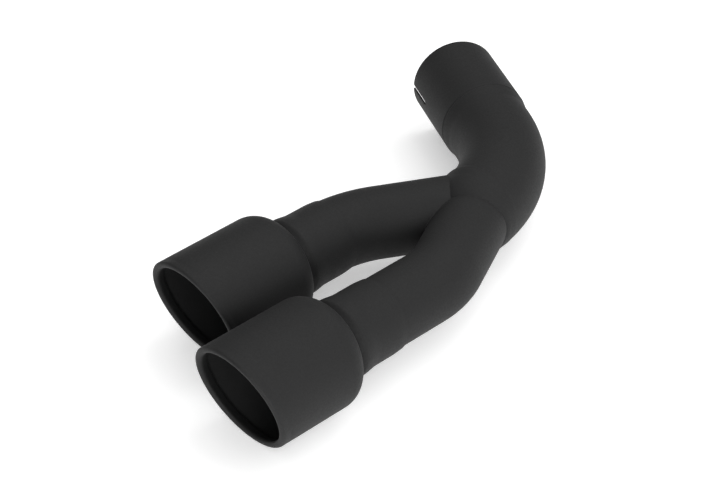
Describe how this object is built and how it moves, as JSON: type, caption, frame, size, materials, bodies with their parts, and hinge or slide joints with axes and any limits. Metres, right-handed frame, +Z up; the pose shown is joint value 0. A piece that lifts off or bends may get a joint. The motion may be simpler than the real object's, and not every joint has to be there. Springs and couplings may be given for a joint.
{
  "type": "exhaust tip",
  "caption": "Black exhaust tip: a slotted clamp-on sleeve and a wide elbow feed side-by-side branch tubes, each ending in a round slash-cut mouth with a rolled edge.",
  "frame": {"origin": "centre of the inlet sleeve's open end, on the sleeve's axis", "axes": "+Z is up and the slash-cut mouths face -Y with their upper edge further out; the tips' axes run along Y; the inlet sleeve points 26.1 degrees behind -X; all the tubes' axes lie in the plane z = 0"},
  "size_m": [0.2874, 0.5255, 0.1018],
  "materials": {
    "black_coating": "satin heat-resistant black coating on steel, inside and out"
  },
  "bodies": {
    "root": {"elbow": "black_coating", "left_branch": "black_coating", "right_branch": "black_coating", "left_neck": "black_coating", "right_neck": "black_coating", "left_tip": "black_coating", "right_tip": "black_coating"}
  },
  "joints": []
}
